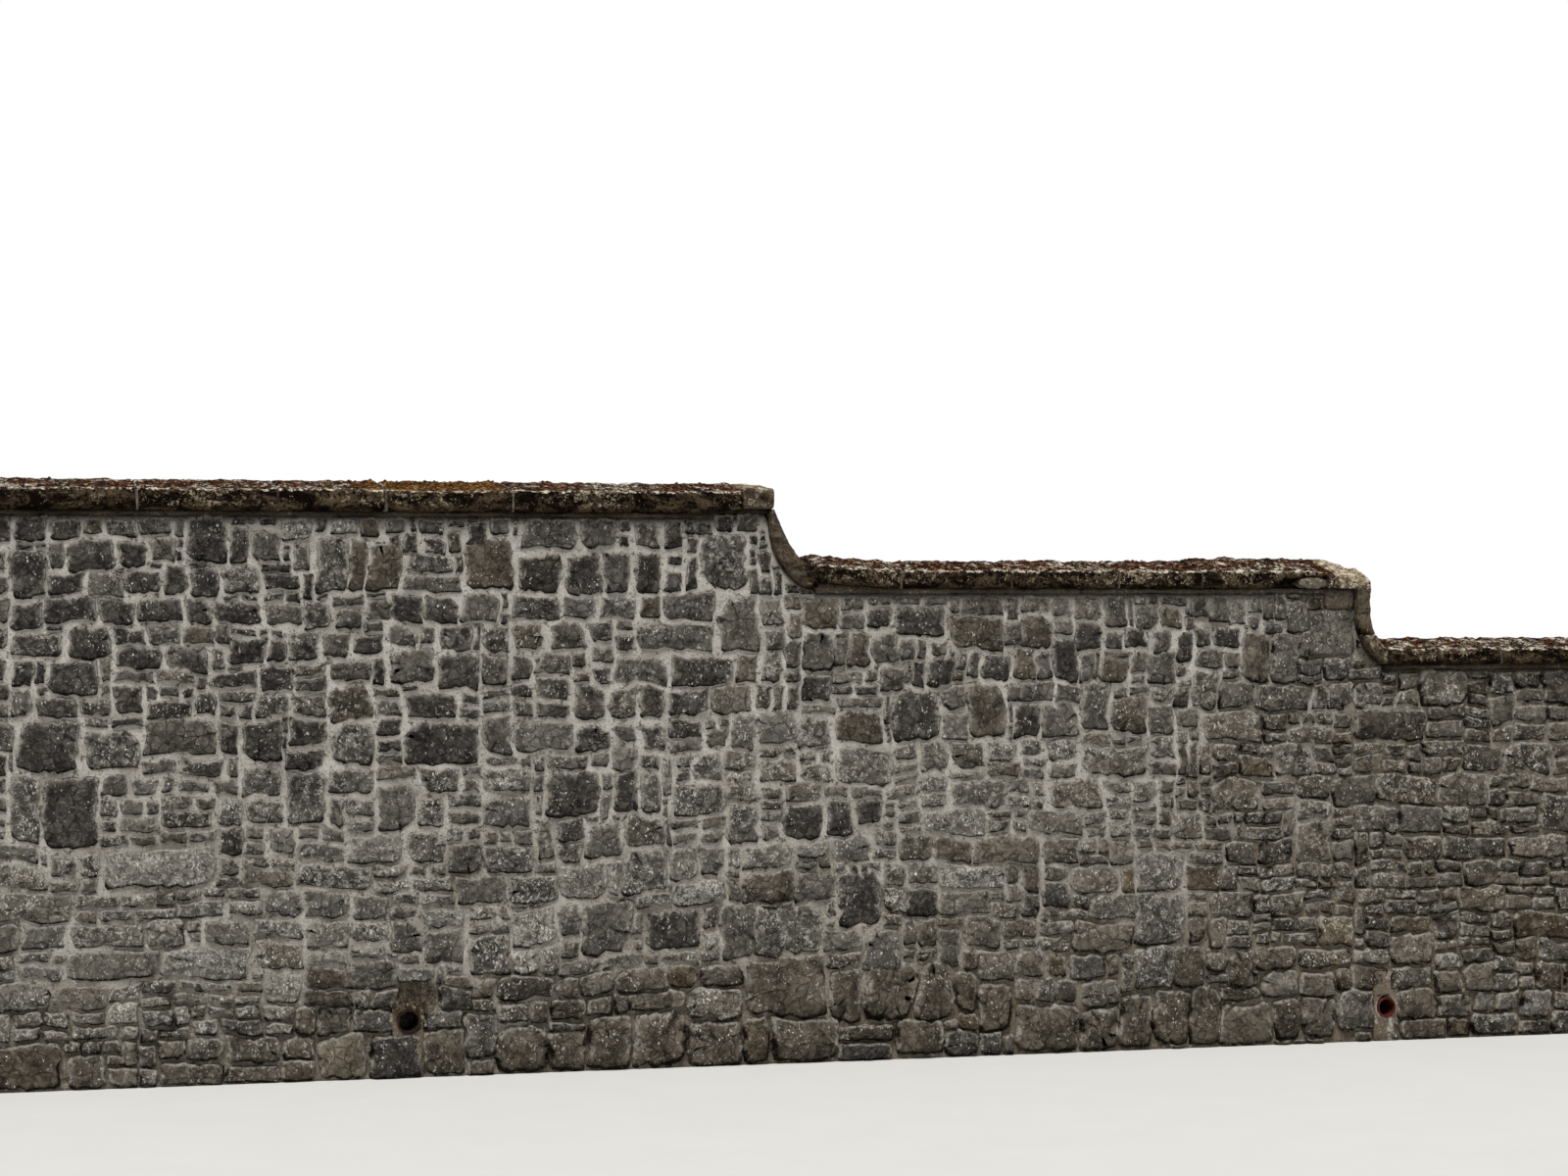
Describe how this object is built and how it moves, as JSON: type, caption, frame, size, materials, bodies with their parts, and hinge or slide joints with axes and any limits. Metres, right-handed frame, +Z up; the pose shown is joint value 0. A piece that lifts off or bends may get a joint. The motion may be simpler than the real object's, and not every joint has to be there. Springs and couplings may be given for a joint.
{
  "type": "stepped rubble stone boundary wall",
  "caption": "Free-standing boundary wall of mortared rubble that steps down twice, with saddleback copings, hipped noses, swept ramps and weep pipes.",
  "frame": {"origin": "centre of the wall's foot, halfway along its length and through its thickness, on the ground", "axes": "+X along the wall towards the low bay, +Y from the front face to the back, +Z up"},
  "size_m": [9.625, 0.54, 2.538],
  "materials": {
    "rubble": "rough quarried limestone in pale mortar",
    "boulders": "large weathered limestone boulders",
    "corner_stone": "rough limestone blocks",
    "coping_stone": "weathered coping with moss and lichen",
    "nose_stone": "weathered coping with yellow lichen",
    "bedding_mortar": "damp lime mortar",
    "seat_mortar": "brown lime mortar",
    "collar_mortar": "smooth lime mortar",
    "iron_pipe": "dark, dull",
    "clay_pipe": "unglazed red clay"
  },
  "bodies": {
    "root": {"corner_block": "corner_stone", "high_bed": "bedding_mortar", "high_coping_1": "coping_stone", "high_coping_2": "coping_stone", "high_coping_3": "coping_stone", "high_coping_4": "coping_stone", "high_coping_5": "coping_stone", "high_coping_6": "coping_stone", "high_coping_7": "coping_stone", "high_foot_left": "boulders", "high_foot_right": "boulders", "high_wall": "rubble", "high_weep_collar": "collar_mortar", "high_weep_pipe": "iron_pipe", "low_bed": "bedding_mortar", "low_coping_1": "coping_stone", "low_coping_2": "coping_stone", "low_coping_3": "coping_stone", "low_coping_4": "coping_stone", "low_coping_5": "coping_stone", "low_foot": "boulders", "low_wall": "rubble", "low_weep_collar": "collar_mortar", "low_weep_pipe": "clay_pipe", "mid_bed": "bedding_mortar", "mid_coping_1": "coping_stone", "mid_coping_2": "coping_stone", "mid_coping_3": "coping_stone", "mid_coping_4": "coping_stone", "mid_coping_5": "coping_stone", "mid_foot": "boulders", "mid_wall": "rubble", "nose_1": "nose_stone", "nose_2": "nose_stone", "ramp_1": "coping_stone", "ramp_2": "coping_stone", "ramp_2_toe": "nose_stone", "seat_block": "seat_mortar", "wedge_stone": "corner_stone"}
  },
  "joints": []
}
